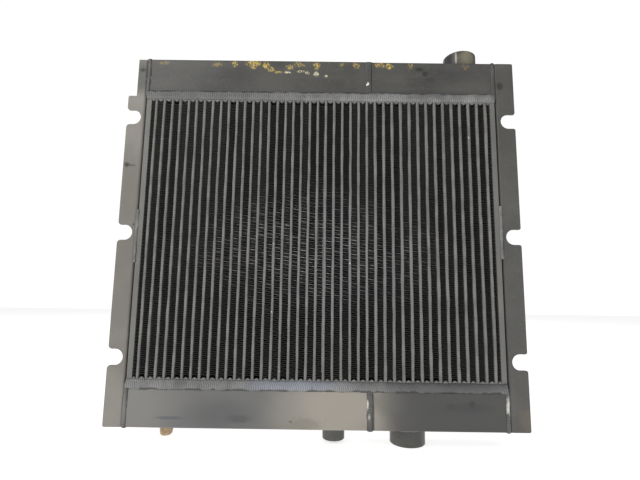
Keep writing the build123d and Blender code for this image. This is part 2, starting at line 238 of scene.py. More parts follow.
def satinPaint(name, look):
    # satin black: cloudy colour under a film of dust, faint drawn lines, fine pits, and the marks listed in look, some
    # of which are painted sheen and painted shade; where look has a crevice share, painted shade darkens the crevices
    # that the mesh carries
    board = Board(name)
    look = {**satin, **look}
    cloud = board.noise(look["cloud"], 5.0, 0.6)
    fine = board.noise(260.0, 3.0, 0.6)
    lines = board.noise(60.0, 3.0, 0.5, look["lines"])
    colour = board.mix(board.ramp(cloud, 0.35, 0.68), look["dark"], look["light"])
    film = board.ramp(fine, 0.52, 0.8) * 0.25 + board.ramp(lines, 0.5, 0.75) * 0.12
    colour = board.mix(film, colour, look["dust"])
    rough = board.ramp(cloud, 0.3, 0.7, look["rough"] - 0.05, look["rough"] + 0.07)
    for mark in look["marks"]:
        mask = board.spot(mark)
        colour = board.mix(mask, colour, mark["colour"])
        if "rough" in mark:
            rough = rough + mask * (mark["rough"] - look["rough"])
    # painted shade: the crevice share that the mesh carries darkens the colour towards near-black
    if "crevice" in look:
        colour = board.mix(board.carried("crevice") * look["crevice"], colour, sootAndShade)
    height = cloud * 0.5 + fine * 0.10 + lines * 0.06
    bump = board.node("ShaderNodeBump", {}, {"Strength": look["bump"], "Distance": 0.0015, "Height": height})
    return board.finish(Base_Color=colour, Roughness=rough, Normal=bump)


def atFront(x, z):
    return (x, frontY, z)


def patch(x, z, size, colour, **more):  # one coloured spot on the front face
    return {"at": atFront(x, z), "size": size, "colour": colour, **more}


crust = (0.60, 0.44, 0.11)
paleCrust = (0.78, 0.71, 0.47)
chipWhite = (0.95, 0.95, 0.93)
crustPatches = (  # along the top edge: x and z of the middle, half width, half height, strength, colour
    (-236, 258, 10, 4, 0.4, crust), (-155, 257, 9, 6, 0.45, crust), (-129, 258, 5, 8, 0.85, crust),
    (-102, 259, 15, 10, 1.0, crust), (-83, 256, 7, 8, 1.0, crust), (-74, 250, 7, 6, 0.9, crust),
    (-65, 245, 7, 3, 0.8, crust), (-50, 245, 8, 2, 1.0, paleCrust), (-47, 253, 7, 6, 0.85, crust),
    (-30, 247, 8, 3, 0.85, paleCrust), (-34, 257, 11, 5, 0.7, crust), (-20, 245, 4, 4, 0.95, paleCrust),
    (-6, 256, 6, 8, 1.0, crust), (-7, 243, 5, 5, 0.95, paleCrust), (8, 240, 3.5, 2.5, 0.95, paleCrust),
    (32, 259, 8, 4, 0.5, crust), (53, 258, 7, 6, 0.7, crust), (92, 259, 16, 6, 0.75, crust),
    (102, 257, 8, 6, 1.0, crust), (133, 258, 6, 6, 0.65, crust),
)
topTankPaint = satinPaint("topTankPaint", {"marks": [
    patch(x, z, (wide, 8, tall), colour, strength=strength, ragged=1.7, grain=150.0, broken=420.0)
    for x, z, wide, tall, strength, colour in crustPatches
] + [
    patch(148, 252, (9, 6, 4.5), sootAndShade, strength=0.8, ragged=0.9, grain=90.0),
    patch(156, 245, (5.5, 4, 5.5), sootAndShade, strength=0.75, ragged=0.9, grain=90.0),
    patch(163, 236, (10, 5, 5), sootAndShade, strength=0.35, ragged=1.0),
    patch(216, 258, (7, 6, 7), (0.30, 0.20, 0.11), strength=0.7, ragged=1.5, grain=120.0, broken=300.0),
    patch(200, 242, (70, 30, 16), (0.045, 0.046, 0.046), strength=0.4, ragged=0.9, grain=25.0, core=0.1),
]})
bottomTankPaintAndSheen = satinPaint("bottomTankPaintAndSheen", {"marks": [
    # painted sheen and painted shade: broad patches over the front, grey on the left part, beige and brightest round x
    # 30, lighter at the left end, darker round x -132
    patch(-110, -232, (240, 70, 90), (0.165, 0.163, 0.157), strength=0.9, ragged=0.25, grain=10.0, core=0.7),
    patch(30, -232, (128, 70, 90), (0.385, 0.352, 0.30), strength=0.92, ragged=0.35, grain=14.0, core=0.2),
    patch(-250, -232, (95, 70, 90), (0.24, 0.232, 0.215), strength=0.85, ragged=0.3, grain=14.0, core=0.2),
    patch(-132, -246, (66, 50, 30), (0.100, 0.102, 0.105), strength=0.7, ragged=0.6, grain=20.0, core=0.1),
    patch(-196, -250, (27, 20, 3.0), (0.10, 0.105, 0.12), strength=0.75, ragged=0.9, grain=60.0),
    patch(-182, -257, (30, 20, 7), (0.14, 0.145, 0.155), strength=0.5, ragged=0.9, grain=40.0),
    patch(-101, -250, (24, 20, 7), (0.075, 0.076, 0.08), strength=0.65, ragged=1.1, grain=50.0),
    patch(-34, -253, (3.0, 5, 2.2), (0.10, 0.08, 0.06), strength=0.8, ragged=0.9, grain=160.0),
    patch(-16, -256, (30, 12, 12), (0.24, 0.22, 0.18), strength=0.6, ragged=1.8, grain=140.0),
    # painted shade: the right part of the front darker
    patch(190, -232, (112, 70, 90), (0.066, 0.066, 0.064), strength=0.8, ragged=0.3, grain=14.0, core=0.7),
    patch(77, -244, (1.6, 4, 40), sootAndShade, strength=0.8, ragged=0.6, grain=90.0),
    patch(209, -228, (6, 4, 6), sootAndShade, strength=0.75, ragged=1.3, grain=120.0),
    patch(181, -231, (8, 4, 5), sootAndShade, strength=0.35, ragged=1.1, grain=90.0),
    patch(205, -232, (50, 6, 9), (0.045, 0.046, 0.05), strength=0.5, ragged=0.9),
    patch(96, -226, (30, 20, 24), (0.13, 0.125, 0.112), strength=0.5, ragged=0.6, grain=30.0),
]})
# painted sheen: the left flange's colours are a lighter, brownish grey than the right flange's, for light falling on
# it from the left
flangeLeftPaintAndSheen = satinPaint("flangeLeftPaintAndSheen", {
    "dark": (0.19, 0.175, 0.155), "light": (0.28, 0.262, 0.232), "cloud": 6.0, "lines": (1, 1, 0.06), "marks": [
        patch(-268, 236, (26, 14, 36), (0.10, 0.097, 0.088), strength=0.85, ragged=0.4, grain=20.0),
        patch(-266.5, 246, (5.5, 4, 4.5), (0.03, 0.028, 0.02), strength=0.9, ragged=0.8, grain=90.0),
        patch(-258.8, 233, (2.2, 4, 5), chipWhite, ragged=0.5, grain=200.0, core=0.7),
        patch(-280, 99, (6, 4, 5), (0.03, 0.027, 0.022), strength=0.85, ragged=1.0, grain=130.0),
        patch(-273, 98.5, (9, 4, 1.6), (0.05, 0.045, 0.04), strength=0.7, ragged=0.8, grain=130.0),
        patch(-263.5, 11.5, (1.8, 4, 1.8), sootAndShade, strength=0.9, ragged=0.4),
    ],
})
flangeRightPaint = satinPaint("flangeRightPaint", {
    "dark": (0.080, 0.078, 0.072), "light": (0.120, 0.117, 0.108), "lines": (1, 1, 0.06), "marks": [
        patch(267, 227, (7, 4, 9), sootAndShade, strength=0.75, ragged=0.7),
        patch(280, -246, (14, 8, 20), (0.16, 0.13, 0.09), strength=0.5, ragged=0.9),
    ],
})
platePaint = satinPaint("platePaint", {
    "dark": (0.15, 0.148, 0.14), "light": (0.20, 0.197, 0.185), "lines": (1, 1, 0.06),
})
weldMarks = [
    patch(-25, -206, (95, 20, 12), (0.36, 0.385, 0.46), strength=0.6, ragged=0.8, grain=40.0),
    patch(180, -206, (150, 20, 20), (0.085, 0.085, 0.088), strength=0.75, ragged=0.4, grain=14.0),
    patch(-150, 206, (170, 20, 16), (0.14, 0.138, 0.135), strength=0.6, ragged=0.4, grain=20.0),
    patch(-6, -209, (1.3, 5, 7), sootAndShade, strength=0.85, ragged=0.4),
    patch(67.6, -229, (4.0, 5, 12), bareMetal, ragged=1.0, grain=170.0, rough=0.3),
    patch(71, -245, (2.4, 5, 6), bareMetal, ragged=1.3, grain=200.0, rough=0.3, strength=0.6),
    patch(257.5, -229, (3.8, 5, 16), bareMetal, ragged=1.2, grain=190.0, rough=0.3),
]
weldPaint = satinPaint("weldPaint", {
    "dark": (0.170, 0.170, 0.168), "light": (0.290, 0.288, 0.285), "cloud": 40.0, "rough": 0.34, "bump": 0.15,
    "crevice": 0.85, "marks": weldMarks,
})
seamPaint = satinPaint("seamPaint", {
    "dark": (0.085, 0.085, 0.083), "light": (0.135, 0.134, 0.13), "cloud": 40.0, "rough": 0.38, "bump": 0.15,
    "crevice": 0.85, "marks": weldMarks + [
        patch(70.6, 228.4, (1.8, 4, 3.0), chipWhite, ragged=0.5, grain=240.0, core=0.7),
        patch(68.4, 226.6, (2.8, 4, 1.8), chipWhite, ragged=0.5, grain=240.0, core=0.7),
        patch(-253, 233.5, (2.0, 4, 3.4), chipWhite, ragged=0.5, grain=200.0, core=0.7),
        patch(-262, -240, (12, 12, 34), (0.26, 0.25, 0.235), strength=0.7, ragged=0.3),
        patch(75.6, 236, (1.0, 4, 40), sootAndShade, strength=0.85, ragged=0.25, core=0.6),
    ],
})
weldBlockPaint = satinPaint("weldBlockPaint", {
    "dark": (0.11, 0.11, 0.11), "light": (0.17, 0.17, 0.17), "cloud": 60.0, "bump": 0.5,
})
portPaint = satinPaint("portPaint", {
    "dark": (0.062, 0.061, 0.056), "light": (0.115, 0.112, 0.100), "cloud": 25.0, "lines": (1, 1, 0.1), "marks": [
        {"at": (223, frontY + 10, 277), "size": (19, 20, 18), "colour": (0.27, 0.25, 0.17),
         "strength": 0.75, "ragged": 0.8, "grain": 70.0},
        {"at": (206.5, frontY + 8, 279), "size": (1.7, 9, 14), "colour": (0.62, 0.58, 0.45),
         "strength": 0.8, "ragged": 0.5},
        {"at": (241, frontY + 22, 272), "size": (4, 9, 8), "colour": (0.55, 0.22, 0.06),
         "strength": 0.8, "ragged": 0.8, "grain": 120.0},
    ],
})


barLook = {
    "dark": (0.150, 0.148, 0.140), "light": (0.225, 0.222, 0.212), "worn": (0.33, 0.33, 0.32),
    "blue": (0.24, 0.25, 0.28), "side": (0.05, 0.05, 0.048), "sideFrom": 0.8, "sideFull": 5.0,
    "chips": (0.80, 0.84), "rough": (0.34, 0.46),
}


def barPaint():
    # grey satin on the bars' fronts, bluish in the middle of the core, with painted shade darkening their sides deeper
    # into the core, with chips
    board = Board("barPaint")
    cloud = board.noise(35.0, 4.0, 0.6)
    fine = board.noise(320.0, 3.0, 0.6)
    colour = board.mix(board.ramp(cloud, 0.3, 0.7), barLook["dark"], barLook["light"])
    colour = board.mix(board.ramp(fine, 0.55, 0.8) * 0.35, colour, barLook["worn"])
    blue = board.spot({"at": atFront(30, -30), "size": (150, 40, 130), "ragged": 0.5, "grain": 12.0, "strength": 0.35})
    colour = board.mix(blue, colour, barLook["blue"])
    # painted shade: from sideFrom to sideFull millimetres behind the front the colour goes to the dark side colour
    deep = board.ramp(board.along("Y"), (frontY + barLook["sideFrom"]) * mm, (frontY + barLook["sideFull"]) * mm)
    colour = board.mix(deep, colour, barLook["side"])
    chips = board.ramp(board.noise(150.0, 1.0, 0.5, shift=(3, 0, 7)), *barLook["chips"])
    colour = board.mix(chips, colour, bareMetal)
    bump = board.node("ShaderNodeBump", {}, {"Strength": 0.2, "Distance": 0.001, "Height": cloud + fine * 0.2})
    return board.finish(Base_Color=colour, Roughness=board.ramp(cloud, 0.3, 0.7, *barLook["rough"]), Normal=bump)


# the dust colour lies on the legs' front edges as dust and painted highlight; deeper in and on the crests the black
# stays as painted shade
finLook = {
    "black": (0.034, 0.034, 0.032), "dust": (0.70, 0.67, 0.62), "dustAndHighlightMiddle": 0.62, "dustAndHighlightLeast": 0.02,
    "frontFrom": 1.7, "frontTo": 7.0, "chips": (0.815, 0.84),
}


def finPaint():
    # thin black paint on the fins; bright chips; a light colour on the legs' front edges, partly dust and partly
    # painted highlight, strongest in the middle of the core, with the black left as painted shade deeper in and on the
    # crests; its share is the front fade x a patchy noise x (middle of the core x its share + a little everywhere) x
    # the brightness that each leg carries
    board = Board("finPaint")
    front = board.ramp(
        board.along("Y"), (frontY + finLook["frontFrom"]) * mm, (frontY + finLook["frontTo"]) * mm, 1.0, 0.0,
    )
    patchyNoise = board.noise(110.0, 4.0, 0.65)
    middle = board.spot({"at": atFront(-10, -20), "size": (215, 60, 110), "core": 0.1, "ragged": 0.6, "grain": 14.0})
    dust = front * board.ramp(patchyNoise, 0.32, 0.58)
    dust = dust * (middle * finLook["dustAndHighlightMiddle"] + finLook["dustAndHighlightLeast"]) * board.carried("leg")
    colour = board.mix(dust, finLook["black"], finLook["dust"])
    chips = board.ramp(board.noise(170.0, 1.0, 0.5, shift=(5, 2, 1)), *finLook["chips"]) * front
    colour = board.mix(chips, colour, bareMetal)
    return board.finish(Base_Color=colour, Roughness=0.55, Specular_IOR_Level=0.3)


def plainMetal(name, look):
    board = Board(name)
    cloud = board.noise(150.0, 4.0, 0.6)
    colour = board.mix(board.ramp(cloud, 0.35, 0.7), look["dark"], look["light"])
    bump = board.node("ShaderNodeBump", {}, {"Strength": 0.15, "Distance": 0.0005, "Height": cloud})
    rough = board.ramp(cloud, 0.3, 0.7, look["rough"], look["rough"] + 0.15)
    return board.finish(Base_Color=colour, Roughness=rough, Metallic=look["metallic"], Normal=bump)


barGrey = barPaint()
finBlack = finPaint()
turbulatorMetal = plainMetal("turbulatorMetal", {
    "dark": (0.5, 0.5, 0.5), "light": (0.65, 0.65, 0.64), "rough": 0.35, "metallic": 1.0,
})
plugMetal = plainMetal("plugMetal", {
    "dark": (0.30, 0.21, 0.12), "light": (0.62, 0.45, 0.28), "rough": 0.4, "metallic": 0.35,
})
washerMetal = plainMetal("washerMetal", {
    "dark": (0.22, 0.20, 0.17), "light": (0.36, 0.34, 0.29), "rough": 0.4, "metallic": 0.6,
})
print("paints mixed")


# ---- oil bars: a painted cap over each bar and its two sheets, swaying a little along its length

barShape = {
    "lap": -0.18, "sway": 0.36, "swell": 0.11, "step": 3.0, "mostDents": 2, "dentDepth": 0.55, "sheetInset": 5.0,
}


def barSway(z, seed):
    # a slow wave along the bar plus a few short dents to one side or the other
    random = np.random.default_rng(seed)
    sway = wander(z, seed, 7, 330.0) * barShape["sway"]
    for _ in range(random.integers(0, barShape["mostDents"] + 1)):
        place = random.uniform(coreLow, coreHigh)
        sway += random.uniform(-1, 1) * barShape["dentDepth"] * np.exp(-(((z - place) / random.uniform(3, 9)) ** 2))
    return sway


def barCaps(name, face, seed):
    # the cap's section: flat crown, round shoulders, straight sides back to the bar's depth;
    # the half width is the bar's plus a sheet plus the lap, x (1 + swell x wander); the sway fades to nothing from
    # the crown to the back of the cap
    deepBack = nodeBox("oil_bars_front")[1][1] - frontY
    across = np.array([-1, -1, -0.95, -0.74, 0, 0.74, 0.95, 1, 1])
    depth = np.array([1, 0.24, 0.09, 0.015, -0.02, 0.015, 0.09, 0.24, 1]) * deepBack
    z = np.linspace(coreLow, coreHigh, round((coreHigh - coreLow) / barShape["step"]) + 1)
    sheet = (sheetHigh[0] - barEdges[-1][1]) + barShape["lap"]
    blocks = []
    for number, (left, right) in enumerate(barEdges):
        half = (right - left) / 2 + sheet
        sway = barSway(z, seed + number)
        half = half * (1 + barShape["swell"] * wander(z, seed + number + 50, 5, 130.0))[:, None]
        x = (left + right) / 2 + across[None] * half + sway[:, None] * (1 - np.clip(depth, 0, None) / deepBack)[None]
        y = (frontY + depth if face == "front" else rearY - depth)[None] + 0 * x
        blocks.append(np.stack([x, y, z[:, None] + 0 * x], -1))
    return skins(name, blocks)


stands(barCaps("oilBarsFront", "front", 100), barGrey, "core_paint", "cooler", "oil_bars_front", sharp=50)
stands(barCaps("oilBarsRear", "rear", 300), barGrey, "core_paint", "cooler", "oil_bars_rear", sharp=50)


def sheetPairs():
    # flat sheets either side of each bar, from behind one cap to behind the other
    thick = sheetHigh[0] - barEdges[-1][1]
    left = np.concatenate([barEdges[:, 0] - thick, barEdges[:, 1]])
    x = np.stack([left, left + thick, left + thick, left], 1)[:, None]
    ahead, behind = frontY + barShape["sheetInset"], rearY - barShape["sheetInset"]
    y = np.array([ahead, ahead, behind, behind])
    z = np.array([coreLow, coreHigh])[None, :, None]
    x, y, z = np.broadcast_arrays(x, y[None, None], z)
    return skins("partingSheets", np.stack([x, y, z], -1), smooth=False)


stands(sheetPairs(), barGrey, "core_paint", "cooler", "parting_sheets")
print("oil bars capped")


# ---- air fins: a strip folded from sheet to sheet, waved from front to back

finShape = {
    "pitch": 5.07, "foil": 0.46, "recess": 1.6, "wave": 2.9, "segments": 3, "crest": 0.40, "uneven": 0.09,
    "faintest": 0.3, "contrast": 1.5, "crestBright": 0.15,
}


def airFins(name, node):
    # path of the strip: over one pitch it lies on one sheet for the crest's share, crosses on a slanted leg, lies on
    # the other sheet and crosses back; its section is foil thick and runs from front to back in straight stretches
    # that rise and fall by the wave; as many whole folds as fit, started at random in the spare room; a leg's
    # brightness is random to the power of the contrast, and a crest has a fixed share of it, which the fin paint turns
    # into painted highlight on the legs and painted shade on the crests
    shape = finShape
    (nodeLeft, _, low), (nodeRight, _, high) = nodeBox(node)
    spare, folds = math.modf((high - low - shape["wave"]) / shape["pitch"])
    folds = int(folds) + 1
    steps = np.array([0, shape["crest"], 0.5, 0.5 + shape["crest"]])
    sides = np.array([1.0, 1.0, -1.0, -1.0])
    depth = np.linspace(frontY + shape["recess"], rearY - shape["recess"], shape["segments"] + 1)
    blocks, legs = [], []
    for number, (left, right) in enumerate(airEdges):
        if not nodeLeft - 0.1 < (left + right) / 2 < nodeRight + 0.1:
            continue
        random = np.random.default_rng(500 + number)
        lift = shape["wave"] * ((np.arange(shape["segments"] + 1) + random.integers(0, 2)) % 2)
        z = low + (random.uniform(0, spare) - 0.5 + np.arange(folds)[:, None] + steps[None]).ravel() * shape["pitch"]
        z += random.normal(0, shape["uneven"], z.size)
        across = np.tile(sides, folds) * ((right - left) / 2 - shape["foil"])
        path = np.stack([across, z], -1)
        run = np.gradient(path, axis=0)
        run /= np.linalg.norm(run, axis=1)[:, None]
        normal = np.stack([run[:, 1], -run[:, 0]], -1) * shape["foil"] / 2 * math.sqrt(2)
        outer, inner = path + normal, path - normal
        x = np.concatenate([np.repeat(outer[:, :1], depth.size, 1), np.repeat(inner[:, :1], depth.size, 1)], 1)
        z = np.concatenate([outer[:, 1:] + lift, inner[:, 1:] + lift[::-1]], 1)
        y = np.broadcast_to(np.concatenate([depth, depth[::-1]]), x.shape)
        x = np.clip(x, -(right - left) / 2, (right - left) / 2) + (left + right) / 2
        blocks.append(np.stack([x, y, z], -1))
        bright = np.repeat(random.uniform(shape["faintest"], 1.0, folds) ** shape["contrast"], 4)[:, None]
        corners = np.tile([shape["crestBright"], 1, 1, shape["crestBright"]], folds)[:, None]
        legs.append(np.broadcast_to(bright * corners, x.shape))
    piece = skins(name, blocks, smooth=False)
    carry(piece, "leg", np.array(legs))
    return piece


stands(airFins("airFinsLeft", "air_fins_left"), finBlack, "fin_black", "cooler", "air_fins_left")
stands(airFins("airFinsRight", "air_fins_right"), finBlack, "fin_black", "cooler", "air_fins_right")
print("air fins folded")


# ---- weld beads: a lens section carried along a path, with the ripples of a torch moving along it

beadShape = {
    "lens": 0.7, "uneven": 0.07, "level": 0.6, "valleyWidth": 1.5, "valleyDark": 0.7, "edges": (0.8, 0.8),
    "edgeFrom": (0.80, 0.95), "edgeSoft": 0.2, "cut": 0.5, "cutMiddle": 0.65, "cutLength": 70.0, "columns": 13,
}


def rippled(u, v, ripple, seed):
    # height of the bead above its path over its full rise: a lens that falls to the edges, its crest uneven along u;
    # ripples are bowed across the bead, so the phase is (u - bow (1 - v v) + slant v) / pitch, with rounded
    # crests between sharp valleys, which is the sine without its sign; bow and slant change evenly from the first
    # value at the start to the last at the end
    shape = beadShape
    share = (u - u.min()) / np.ptp(u)
    bow, slant = (first + (last - first) * share for first, last in (ripple["bow"], ripple["slant"]))
    phase = (u - bow * (1 - v**2) + slant * v) / ripple["pitch"] + 0.25 * wander(u, seed, 4, 60.0)
    crest = np.abs(np.sin(np.pi * phase))
    lens = np.clip(1 - v**2, 0, None) ** shape["lens"]
    uneven = 1 + shape["uneven"] * wander(u, seed + 1, 5, 90.0)
    height = ripple["rise"] * lens * uneven + ripple["deep"] * (crest - shape["level"]) * np.clip(1 - v**4, 0, None)
    # painted shade: valley darkens the colour in the sharp valleys between ripples
    valley = np.clip(1 - crest * shape["valleyWidth"], 0, 1) * shape["valleyDark"]
    return height, valley


def beadAlong(name, path, normal, side, u, ripple, seed):
    # rows run along the path, columns across it; the last two columns lie sunk in the metal below; each edge of the
    # bead wanders in and out by the wobble; both edges get painted shade by the shares in edges, the near one over a
    # fixed width, the far one over a width that the cut makes wander along the bead
    shape = beadShape
    v = np.linspace(-1, 1, ripple.get("columns", shape["columns"]))[None]
    uu = u[:, None] + 0 * v
    vv = v + 0 * uu
    height, valley = rippled(uu, vv, ripple, seed)
    half = ripple["wide"] / 2
    edge = np.where(vv > 0, wander(uu, seed + 2, 6, 45.0), wander(uu, seed + 3, 6, 45.0)) * ripple["wobble"]
    across = vv * half + edge * np.abs(vv)
    cut = np.clip(shape["cutMiddle"] + wander(uu, seed + 4, 7, shape["cutLength"]), 0, 1) * shape["cut"]
    near, far = ripple.get("edges", shape["edges"])
    nearFrom, farFrom = shape["edgeFrom"]
    valley = np.maximum(valley, np.clip((vv - farFrom + cut) / shape["edgeSoft"], 0, 1) * far)
    valley = np.maximum(valley, np.clip((-vv - nearFrom) / shape["edgeSoft"], 0, 1) * near)
    sunk = np.full((u.size, 1), -ripple["sink"])
    across = np.concatenate([across, across[:, -1:] * 0.9, across[:, :1] * 0.9], 1)
    height = np.concatenate([height, sunk, sunk], 1)
    valley = np.concatenate([valley, 0 * sunk + 1, 0 * sunk + 1], 1)
    grid = path[:, None] + normal[:, None] * height[..., None] + side[:, None] * across[..., None]
    piece = skins(name, grid)
    carry(piece, "crevice", valley)
    return piece


coreBead = {
    "rise": 3.0, "deep": 0.85, "pitch": 2.9, "bow": (2.8, 2.0), "slant": (-0.4, -2.8), "wobble": 0.55,
    "sink": 1.0, "step": 0.5, "edges": (0.0, 0.9),
}


def straight(count, vector):
    return np.repeat(np.array([vector], dtype=float), count, 0)


for end in ("top", "bottom"):
    for face in ("front", "rear"):
        node = f"weld_core_{end}_{face}"
        low, high = nodeBox(node)
        up, out = (1 if end == "top" else -1), (-1 if face == "front" else 1)
        x = np.arange(low[0], high[0] + 0.1, coreBead["step"])
        path = np.stack([x, 0 * x + (frontY if face == "front" else rearY), 0 * x + (low[2] + high[2]) / 2], -1)
        ripple = {**coreBead, "wide": high[2] - low[2], "slant": [-up * slant for slant in coreBead["slant"]]}
        bead = beadAlong(
            "coreBead" + end.title() + face.title(), path, straight(x.size, (0, out, 0)),
            straight(x.size, (0, 0, up)), x, ripple, 700 + 10 * up + out,
        )
        stands(bead, weldPaint, "weld_paint", "cooler", node)
print("core beads laid")


# ---- seams over the tanks: the same bead carried round a tank's outside

def roundTank(outer, base, corner, step):
    # path from the core's front face up the tank, round its corner, over it and down its back, as points and
    # outward normals; three straight stretches and two quarter circles, resampled to even steps
    up = 1 if outer > 0 else -1
    tall, deep = abs(outer), rearY
    turn = np.linspace(0, math.pi / 2, 13)
    wall = np.array([abs(base), tall - corner])
    sine, cosine = np.sin(turn), np.cos(turn)
    y = np.concatenate([
        [-deep, -deep], -deep + corner - corner * cosine, deep - corner + corner * sine, [deep, deep],
    ])
    z = np.concatenate([wall, tall - corner + corner * sine, tall - corner + corner * cosine, wall[::-1]])
    ny = np.concatenate([[-1, -1], -cosine, sine, [1, 1]])
    nz = np.concatenate([[0, 0], sine, cosine, [0, 0]])
    length = np.concatenate([[0], np.cumsum(np.hypot(np.diff(y), np.diff(z)) + 1e-6)])
    u = np.arange(0, length[-1], step)
    y, z, ny, nz = (np.interp(u, length, values) for values in (y, z, ny, nz))
    point = np.stack([0 * u, y, z * up], -1)
    normal = np.stack([0 * u, ny, nz * up], -1)
    return u, point, normal


seamPath = {"above": 3, "corner": 1.5, "step": 0.5}  # start above the core, corner radius, spacing of points
seamBeads = {
    "dividerTop": {
        "node": "weld_divider_top", "tank": "top_tank_left", "rise": 0.45, "deep": 0.03, "pitch": 2.6,
        "bow": (1.0, 1.0), "slant": (0.0, 0.0), "wobble": 0.3, "edges": (0.0, 0.3),
    },
    "dividerBottom": {
        "node": "weld_divider_bottom", "tank": "bottom_tank_left", "rise": 1.7, "deep": 0.38, "pitch": 3.0,
        "bow": (2.0, 2.0), "slant": (0.5, 0.5), "wobble": 0.5,
    },
    "capTopLeft": {
        "node": "weld_cap_top_left", "tank": "top_tank_left", "rise": 1.1, "deep": 0.12, "pitch": 2.6,
        "bow": (1.2, 1.2), "slant": (0.2, 0.2), "wobble": 0.7,
    },
    "capTopRight": {
        "node": "weld_cap_top_right", "tank": "top_tank_right", "rise": 1.3, "deep": 0.05, "pitch": 2.8,
        "bow": (1.2, 1.2), "slant": (0.2, 0.2), "wobble": 0.35,
    },
    "capBottomLeft": {
        "node": "weld_cap_bottom_left", "tank": "bottom_tank_left", "rise": 1.3, "deep": 0.08, "pitch": 2.8,
        "bow": (1.2, 1.2), "slant": (0.3, 0.3), "wobble": 0.5,
    },
    "capBottomRight": {
        "node": "weld_cap_bottom_right", "tank": "bottom_tank_right", "rise": 1.3, "deep": 0.14, "pitch": 2.6,
        "bow": (1.2, 1.2), "slant": (0.2, 0.2), "wobble": 0.5,
    },
}
for number, (name, seam) in enumerate(seamBeads.items()):
    low, high = nodeBox(seam["node"])
    tankLow, tankHigh = nodeBox(seam["tank"])
    outer = tankHigh[2] if tankHigh[2] > 0 else tankLow[2]
    u, path, normal = roundTank(outer, coreHigh + seamPath["above"], seamPath["corner"], seamPath["step"])
    path[:, 0] = (low[0] + high[0]) / 2
    ripple = {"sink": 0.8, "columns": 11, **seam, "wide": high[0] - low[0]}
    bead = beadAlong(name, path, normal, straight(u.size, (1, 0, 0)), u, ripple, 800 + 7 * number)
    stands(bead, seamPaint, "weld_paint", "cooler", seam["node"])
print("tank seams laid")


# ---- stitches between the side plates and the flanges

stitch = {
    "wide": 5.0, "rise": 1.3, "deep": 0.22, "pitch": 3.0, "bow": (1.4, 1.4), "slant": (0.0, 0.0), "wobble": 0.5,
    "sink": 2.5, "columns": 11, "step": 0.6,
}


def stitchBead(name, x, ends, seed):
    z = np.linspace(ends[0], ends[1], round((ends[1] - ends[0]) / stitch["step"]))
    path = np.stack([0 * z + x, 0 * z + frontY, z], -1)
    bead = beadAlong(name, path, straight(z.size, (0, -1, 0)), straight(z.size, (1, 0, 0)), z, stitch, seed)
    stands(bead, weldPaint, "weld_paint", "cooler", "weld_flange_stitches")


stitchLow, stitchHigh = nodeBox("weld_flange_stitches")
stitchEnds = levels("weld_flange_stitches", 2)
stitchBead("stitchLeft", stitchLow[0] + stitch["wide"] / 2, stitchEnds[[0, -2]], 900)
stitchBead("stitchRight", stitchHigh[0] - stitch["wide"] / 2, stitchEnds[[1, -1]], 905)
print("stitches laid")


# ---- ports: threaded bosses turned about their own axis, with a weld ring at the foot

ports = {
    "topPort": {"node": "top_port", "axis": 2, "way": 1, "pitch": 2.117, "rise": 25.6, "bore": 15.65},
    "bottomPort": {"node": "bottom_port", "axis": 2, "way": -1, "pitch": 2.117, "rise": 23.9, "bore": 15.65},
    "middlePort": {"node": "middle_port", "axis": 2, "way": -1, "pitch": 1.588, "rise": 19.6, "bore": 8.8},
    "rearPort": {"node": "rear_port", "axis": 1, "way": 1, "pitch": 1.588, "rise": 18.0, "bore": 8.8},
    "drainBung": {"node": "drain_bung", "axis": 2, "way": -1, "pitch": 1.5, "rise": 5.0, "bore": 5.0},
}
portShape = {
    "chamfer": 1.0, "mouth": 2.0, "around": 112, "perThread": 5, "thread": 0.6, "toolMark": 0.05, "wallRows": 14,
    "threadStop": 0.5, "spigotWall": (1.5, 3.0), "small": 10,
}


def turned(radius, height, centre, axis, way):
    # radius and height are angle x profile arrays; the axis points along way from centre
    angle = np.linspace(0, 2 * math.pi, radius.shape[0], endpoint=False)[:, None]
    a, b, c = radius * np.cos(angle), radius * np.sin(angle), height * way + 0 * angle
    parts = [a, b, c] if axis == 2 else [a, c, b]
    return np.stack(parts, -1) + np.array(centre)


def threadedBoss(name, port):
    # profile round the boss's wall: outside up to the chamfer, over the mouth, down the bore; in the bore the
    # radius is the thread's crest plus a triangle wave of height / pitch - angle / one turn
    low, high = nodeBox(port["node"])
    axis, way, shape = port["axis"], port["way"], portShape
    outer = (high[0] - low[0]) / 2
    bore = port["bore"]
    tip = (high if way > 0 else low)[axis]
    foot = tip - way * port["rise"]
    inner = (low if way > 0 else high)[axis]
    centre = (low + high) / 2
    centre[axis] = foot
    rise, drop = port["rise"], abs(foot - inner)
    thin, thick = shape["spigotWall"]
    spigot = bore + (thick if outer > shape["small"] else thin)
    wallHeights = np.linspace(0.0, rise - shape["chamfer"], shape["wallRows"])
    threadLength = rise + drop - shape["mouth"] - shape["threadStop"]
    turns = round(threadLength / port["pitch"] * shape["perThread"])
    boreHeights = np.linspace(rise - shape["mouth"], -drop + shape["threadStop"], turns)
    angle = np.linspace(0, 1, shape["around"], endpoint=False)[:, None]
    swell = wander(angle * 0 + wallHeights[None], 40, 4, 9.0) * shape["toolMark"]
    saw = np.abs(((boreHeights[None] / port["pitch"] - angle) % 1.0) * 2 - 1)
    one = np.ones_like(angle)
    radius = np.concatenate([
        one * spigot, one * spigot, outer + swell, one * (outer - shape["chamfer"]), one * (bore + shape["mouth"]),
        bore + shape["thread"] * saw, one * bore, one * (spigot - 0.4),
    ], 1)
    height = np.concatenate([
        one * -drop + 0.4, one * -0.01, one * wallHeights[None], one * rise, one * rise,
        one * boreHeights[None], one * -drop, one * -drop,
    ], 1)
    piece = skins(name, turned(radius, height, centre, axis, way), wrapRows=True)
    return piece, centre, outer


ringShape = {
    "wide": 4.0, "tall": 4.0, "bulge": 0.8, "deep": 0.30, "pitch": 3.2, "wobble": 0.35, "step": 0.55, "lean": 0.7,
}


